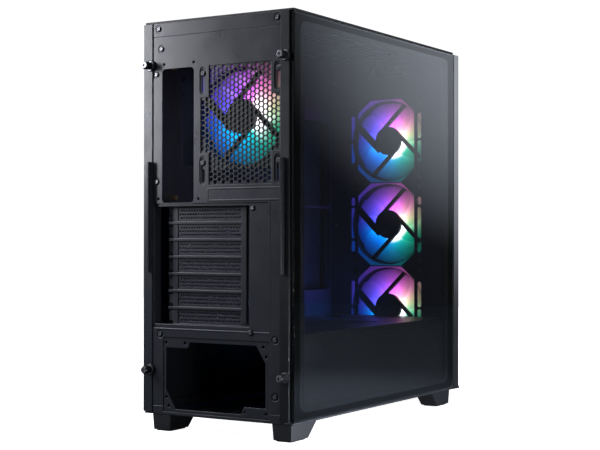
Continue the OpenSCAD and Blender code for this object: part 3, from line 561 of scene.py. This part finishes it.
def apply_modifiers(piece):
    """Replaces a piece's mesh by the one its modifiers make."""
    graph = bpy.context.evaluated_depsgraph_get()
    made = bpy.data.meshes.new_from_object(piece.evaluated_get(graph))
    piece.modifiers.clear()
    piece.data = made


# ---- Fans ----

BLADES = 9
HUB_R = 20.0 * MM
TIP_R = 55.3 * MM
BLADE_SPAN = math.radians(58.0)
BLADE_SWEEP = math.radians(-26.0)


def blade(turn, rows=15, columns=13):
    """One swept, twisted and cambered blade: its points and faces, round the Y axis."""
    points = []
    for side in (1, -1):
        for i in range(rows):
            s = i / (rows - 1)
            radius = HUB_R - 0.6 * MM + (TIP_R - HUB_R + 0.6 * MM) * s
            reach = (15.0 - 5.0 * s) * MM
            span = BLADE_SPAN * (1.0 - 0.10 * max(0.0, s - 0.8) / 0.2)
            for j in range(columns):
                c = j / (columns - 1)
                angle = turn + BLADE_SWEEP * s ** 1.6 + (c - 0.5) * span
                camber = 1.8 * MM * (1.0 - (2.0 * c - 1.0) ** 2)
                thick = (0.75 - 0.25 * s) * MM * (0.15 + 0.85 * (1.0 - abs(2.0 * c - 1.0) ** 3))
                depth = (c - 0.5) * reach + camber + side * thick
                points.append((radius * math.cos(angle), depth - 1.8 * MM, radius * math.sin(angle)))
    count = rows * columns
    faces = []
    for i in range(rows - 1):
        for j in range(columns - 1):
            a = i * columns + j
            quad = (a, a + 1, a + columns + 1, a + columns)
            faces.append(quad)
            faces.append(tuple(count + k for k in reversed(quad)))
    rim = list(range(columns))
    rim += [i * columns + columns - 1 for i in range(1, rows)]
    rim += [(rows - 1) * columns + j for j in range(columns - 2, -1, -1)]
    rim += [i * columns for i in range(rows - 2, 0, -1)]
    for a, b in zip(rim, rim[1:] + rim[:1]):
        faces.append((b, a, count + a, count + b))
    return points, faces


def hub_shell(front, back, segments=72):
    """A cup with a rounded, slightly domed front, open towards the struts."""
    wall = 1.4 * MM
    corner = 3.0 * MM
    profile = [(0.0, front + 0.2 * MM), (9.0 * MM, front), (HUB_R - 4.0 * MM, front + 0.4 * MM)]
    for k in range(7):
        a = math.pi / 2 * k / 6
        depth = front + 0.5 * MM + corner - corner * math.cos(a)
        profile.append((HUB_R - corner + corner * math.sin(a), depth))
    profile += [(HUB_R, back), (HUB_R - wall, back)]
    profile += [(HUB_R - wall, front + 4.0 * MM), (0.0, front + 2.0 * MM)]
    points = []
    for radius, depth in profile:
        for k in range(segments):
            a = 2 * math.pi * k / segments
            points.append((radius * math.cos(a), depth, radius * math.sin(a)))
    faces = []
    for i in range(len(profile) - 1):
        for k in range(segments):
            n = (k + 1) % segments
            ring, following = i * segments, (i + 1) * segments
            faces.append((ring + k, ring + n, following + n, following + k))
    return points, faces


def rotor_mesh(name, front, back):
    """A whole rotor round the Y axis: the hub and all its blades."""
    points, faces = hub_shell(front, back)
    for k in range(BLADES):
        more_points, more_faces = blade(2 * math.pi * k / BLADES)
        start = len(points)
        points += more_points
        faces += [tuple(start + i for i in face) for face in more_faces]
    mesh = mesh_from(name, points, faces, 50.0)
    bm = bmesh.new()
    bm.from_mesh(mesh)
    bmesh.ops.remove_doubles(bm, verts=bm.verts, dist=0.001 * MM)
    bmesh.ops.recalc_face_normals(bm, faces=bm.faces)
    bm.to_mesh(mesh)
    bm.free()
    return mesh


def fan_centre(fan):
    """The middle of a fan's frame."""
    low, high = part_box("fan_frame_" + fan)
    return (low + high) / 2


def make_fans():
    """Lit rotors in place of the CAD's, and a glow in each fan's frame."""
    for fan in FANS:
        centre = fan_centre(fan)
        low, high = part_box("fan_rotor_" + fan)
        mesh = rotor_mesh("rotor_" + fan, low.y - centre.y + 0.2 * MM, high.y - centre.y)
        glow = FINISHES["fan_rotor"] if fan == "rear" else BLADE_GLOW_FRONT
        node = "fan_rotor_" + fan
        make_piece("rotor_" + fan, mesh, body_of(node), glow, (node,), centre)
        levels = (0.22, 0.0, 0.1) if fan == "rear" else (0.5, 0.65, 1.0)
        frame_glow = lit_fan_frame("fan_frame_glow_" + fan, centre, *levels)
        dress(NODES["fan_frame_" + fan], frame_glow)


# ---- Fine meshes ----

def punched_sheet(name, node, pitch, hole, margin):
    """A sheet over a CAD node's box, in X and Z, punched with rows of hexagonal holes."""
    low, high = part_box(node)
    row = pitch * math.sqrt(3) / 2
    columns = int((high.x - low.x - 2 * margin) / pitch)
    rows = int((high.z - low.z - 2 * margin) / row)
    x0 = (low.x + high.x - (columns - 0.5) * pitch) / 2
    z0 = (low.z + high.z - (rows - 1) * row) / 2
    bm = bmesh.new()
    corner = [math.radians(60 * k + 30) for k in range(6)]
    cell_r = pitch / math.sqrt(3)
    hole_r = hole / 2
    for i in range(rows):
        for j in range(columns):
            x = x0 + (j + 0.5 * (i % 2)) * pitch
            z = z0 + i * row
            rings = []
            for radius, y in ((cell_r, low.y), (hole_r, low.y), (hole_r, high.y), (cell_r, high.y)):
                ring = [(x + radius * math.cos(a), y, z + radius * math.sin(a)) for a in corner]
                rings.append([bm.verts.new(point) for point in ring])
            for inner, outer in zip(rings, rings[1:]):
                for k in range(6):
                    n = (k + 1) % 6
                    bm.faces.new((inner[k], inner[n], outer[n], outer[k]))
    bmesh.ops.remove_doubles(bm, verts=bm.verts, dist=0.02 * MM)
    inner_low = Vector((x0 - pitch / 2, 0, z0 - row * 0.6))
    inner_high = Vector((x0 + columns * pitch, 0, z0 + (rows - 0.4) * row))
    add_border(bm, low, high, inner_low, inner_high)
    mesh = bpy.data.meshes.new(name)
    bm.to_mesh(mesh)
    bm.free()
    return mesh


def add_border(bm, low, high, inner_low, inner_high):
    """A plain band round the punched field, from the sheet's edge in over the field's edge cells."""
    def corners(a, b, y):
        """The corners of a rectangle in X and Z at one depth."""
        return [bm.verts.new(p) for p in ((a.x, y, a.z), (b.x, y, a.z), (b.x, y, b.z), (a.x, y, b.z))]
    rings = [corners(low, high, low.y), corners(inner_low, inner_high, low.y - 0.02 * MM)]
    rings += [corners(inner_low, inner_high, high.y + 0.02 * MM), corners(low, high, high.y)]
    for a, b in zip(rings, rings[1:] + rings[:1]):
        for k in range(4):
            n = (k + 1) % 4
            bm.faces.new((a[k], a[n], b[n], b[k]))


# ---- Glass print ----

def rounded_outline(low_u, high_u, low_v, high_v, radius, steps=10):
    """Points round a rectangle with round corners, counterclockwise, the same number at each corner."""
    points = []
    for cu, cv, start in (
        (high_u - radius, low_v + radius, -90), (high_u - radius, high_v - radius, 0),
        (low_u + radius, high_v - radius, 90), (low_u + radius, low_v + radius, 180),
    ):
        for k in range(steps + 1):
            a = math.radians(start + 90 * k / steps)
            points.append((cu + radius * math.cos(a), cv + radius * math.sin(a)))
    return points


def glass_print():
    """The black border printed on the inner face of the glass, round the clear window."""
    low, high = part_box("glass_pane")
    edge = 1.0 * MM
    outer = rounded_outline(low.y + edge, high.y - edge, low.z + edge, high.z - edge, 1.5 * MM)
    front, rear, level = 25.0 * MM, 24.8 * MM, 17.0 * MM
    inner = rounded_outline(low.y + front, high.y - rear, low.z + level, high.z - level, 8.0 * MM)
    x_near = high.x + 0.02 * MM
    x_far = high.x + 0.12 * MM
    points = [(x, u, v) for x in (x_near, x_far) for ring in (outer, inner) for u, v in ring]
    n = len(outer)
    faces = []
    for k in range(n):
        m = (k + 1) % n
        faces.append((k, m, n + m, n + k))
        faces.append((2 * n + k, 3 * n + k, 3 * n + m, 2 * n + m))
        faces.append((n + k, n + m, 3 * n + m, 3 * n + k))
        faces.append((k, 2 * n + k, 2 * n + m, m))
    t = Tree("printed_border")
    t.set(Base_Color=t.mix(t.noise(900.0), (0.004, 0.004, 0.005), (0.008, 0.008, 0.009)), Roughness=0.6)
    mesh = mesh_from("glass_print", points, faces)
    make_piece("glass_print", mesh, "glass_panel", t.material)


# ---- Stage ----

FLOOR_REACH = 2.6
# Middle of the pool of light painted on the floor, seen only in reflections and bounced light
LIGHT_POOL_CENTRE = (-0.33, -0.16, 0.0)

# Soft bright regions of the room: (direction, full within degrees, gone beyond degrees, level)
SOFT_REGIONS = (
    ((0.0, 0.0, 1.0), 0.0, 180.0, 0.07),
    ((-0.350, -0.920, 0.190), 0.0, 12.5, 1.25),
    ((-0.18, -0.88, 0.38), 3.0, 27.0, 0.35),
    ((0.75, 0.60, 0.30), 5.0, 36.0, 0.30),
    ((0.0, 0.1, 1.0), 10.0, 60.0, 0.5),
)


def make_floor():
    """A white floor to the camera, and a quiet one to all else, with a pool of light painted on it by one
    corner of the object.
    """
    mesh = bpy.data.meshes.new("floor")
    corners = [(x * FLOOR_REACH, y * FLOOR_REACH, 0) for x, y in ((-1, -1), (1, -1), (1, 1), (-1, 1))]
    mesh.from_pydata(corners, [], [(0, 1, 2, 3)])
    floor = bpy.data.objects.new("floor", mesh)
    floor.location.z = cad_low.z - 0.05 * MM
    bpy.context.scene.collection.objects.link(floor)
    t = Tree("pale_floor")
    t.set(Base_Color=(0.80, 0.80, 0.80, 1.0), Roughness=0.9, Specular_IOR_Level=0.0)
    t.set(Emission_Color=(1.0, 1.0, 1.0, 1.0), Emission_Strength=0.98)
    quiet = t.nodes.new("ShaderNodeBsdfDiffuse")
    # Painted pool of light: the quiet floor is paler near the pool's middle
    away = t.vector("DISTANCE", t.coords, LIGHT_POOL_CENTRE, output="Value")
    away = t.remap(away, 0.02, 0.50, smooth=True)
    t.link(t.mix(away, (0.24, 0.27, 0.33), (0.07, 0.08, 0.09)), quiet.inputs["Color"])
    seen = t.nodes.new("ShaderNodeLightPath").outputs["Is Camera Ray"]
    choose = t.nodes.new("ShaderNodeMixShader")
    t.link(seen, choose.inputs["Fac"])
    t.link(quiet.outputs[0], choose.inputs[1])
    t.link(t.shader.outputs[0], choose.inputs[2])
    t.link(choose.outputs[0], t.nodes["Material Output"].inputs["Surface"])
    dress(floor, t.material)


def make_world():
    """White to the camera, and a dim room with a few soft bright regions to what it lights."""
    world = bpy.data.worlds.new("studio")
    bpy.context.scene.world = world
    world.use_nodes = True
    nodes, links = world.node_tree.nodes, world.node_tree.links
    nodes.clear()
    direction = nodes.new("ShaderNodeTexCoord").outputs["Generated"]
    total = None
    for aim, inner, outer, level in SOFT_REGIONS:
        dot = nodes.new("ShaderNodeVectorMath")
        dot.operation = "DOT_PRODUCT"
        links.new(direction, dot.inputs[0])
        dot.inputs[1].default_value = Vector(aim).normalized()
        shape = nodes.new("ShaderNodeMapRange")
        shape.interpolation_type = "SMOOTHSTEP"
        links.new(dot.outputs["Value"], shape.inputs["Value"])
        shape.inputs["From Min"].default_value = math.cos(math.radians(outer))
        shape.inputs["From Max"].default_value = math.cos(math.radians(inner))
        shape.inputs["To Max"].default_value = level
        if total is None:
            total = shape.outputs["Result"]
        else:
            add = nodes.new("ShaderNodeMath")
            links.new(total, add.inputs[0])
            links.new(shape.outputs["Result"], add.inputs[1])
            total = add.outputs[0]
    room = nodes.new("ShaderNodeBackground")
    room.inputs["Color"].default_value = (0.82, 0.89, 1.0, 1.0)
    links.new(total, room.inputs["Strength"])
    white = nodes.new("ShaderNodeBackground")
    white.inputs["Color"].default_value = (1.0, 1.0, 1.0, 1.0)
    white.inputs["Strength"].default_value = 1.05
    choose = nodes.new("ShaderNodeMixShader")
    links.new(nodes.new("ShaderNodeLightPath").outputs["Is Camera Ray"], choose.inputs["Fac"])
    links.new(room.outputs[0], choose.inputs[1])
    links.new(white.outputs[0], choose.inputs[2])
    links.new(choose.outputs[0], nodes.new("ShaderNodeOutputWorld").inputs["Surface"])


def area_light(name, place, target, size, power, colour=(1.0, 1.0, 1.0)):
    """A soft rectangular light aimed at a point, seen only in reflections."""
    data = bpy.data.lights.new(name, "AREA")
    data.shape = "RECTANGLE"
    data.size, data.size_y = size
    data.energy = power
    data.color = colour
    light = bpy.data.objects.new(name, data)
    light.location = place
    light.rotation_euler = (Vector(target) - Vector(place)).to_track_quat("-Z", "Y").to_euler()
    light.visible_camera = light.visible_transmission = False
    bpy.context.scene.collection.objects.link(light)
    return light


def make_lights():
    """Lights round the object, and faint blue ones inside it that stand for the fans' stray light."""
    middle = (0.0, 0.0, 0.25)
    cool = (0.92, 0.94, 1.0)
    area_light("key_left", (0.42, 0.56, 0.49), (0.09, 0.22, 0.40), (0.10, 0.36), 2.15, cool)
    area_light("foot_side", (-0.45, 0.19, 0.04), (-0.10, 0.19, 0.008), (0.05, 0.02), 3.2, cool)
    area_light("low_side", (-1.3, 0.9, 0.12), (-0.1, 0.20, 0.02), (0.3, 0.3), 2.5)
    area_light("overhead", (0.2, 0.0, 2.6), middle, (2.6, 2.2), 55.0)
    blue = (0.03, 0.22, 1.0)
    violet = (0.14, 0.20, 1.0)
    inner = [
        area_light("inner_blue", (0.02, -0.11, 0.137), (0.076, -0.13, 0.140), (0.06, 0.02), 0.15, blue),
        area_light("cable_blue", (0.094, 0.02, 0.40), (0.094, 0.10, 0.30), (0.01, 0.05), 0.08, blue),
        area_light("chamber_wash", (-0.04, -0.05, 0.30), (0.08, -0.14, 0.29), (0.05, 0.26), 0.12, violet),
    ]
    for light in inner:
        light.visible_glossy = False


CAMERA_PLACE = (-0.8853, 1.4888, 0.2301)
CAMERA_HEADING = (0.5208, -0.8537, 0.0)
CAMERA_RISE = math.radians(0.58)
CAMERA_ROLL = math.radians(0.055)
CAMERA_LENS = 79.36


def make_camera():
    """A camera behind the object on its glass side, at half its height and nearly level."""
    data = bpy.data.cameras.new("camera")
    data.sensor_width = 36.0
    data.lens = CAMERA_LENS
    data.clip_start = 0.01
    camera = bpy.data.objects.new("camera", data)
    camera.location = CAMERA_PLACE
    ahead = Vector(CAMERA_HEADING).normalized() * math.cos(CAMERA_RISE)
    ahead.z = math.sin(CAMERA_RISE)
    turn = ahead.to_track_quat("-Z", "Y").to_matrix() @ Matrix.Rotation(CAMERA_ROLL, 3, "Z")
    camera.rotation_euler = turn.to_euler()
    bpy.context.scene.collection.objects.link(camera)
    bpy.context.scene.camera = camera


# ---- Assembly ----

for subpart in frame["record"]["subparts"]:
    dress(NODES[subpart["node"]], FINISHES[subpart["material_slot"]])

dress(NODES["glass_frame"], GLASS_FRAME_PAINT)
dress(NODES["rear_fan_grille"], GRILLE_PAINT)
make_fans()
glass_print()
sheet_mesh = punched_sheet("front_mesh_fine", "front_mesh", 5.0 * MM, 3.9 * MM, 4.0 * MM)
make_piece("front_mesh_fine", sheet_mesh, "front_panel", FINISHES["mesh"], ("front_mesh",))
for foot in ("foot_rear_steel", "foot_rear_glass", "foot_front_steel", "foot_front_glass"):
    rounded(foot, 0.9 * MM)
for button in ("power_button", "light_button"):
    rounded(button, 0.5 * MM)
rounded("glass_pane", 0.5 * MM)
rounded("front_bezel", 0.5 * MM)

make_floor()
make_world()
make_lights()
make_camera()
bpy.context.scene.view_settings.view_transform = "Standard"
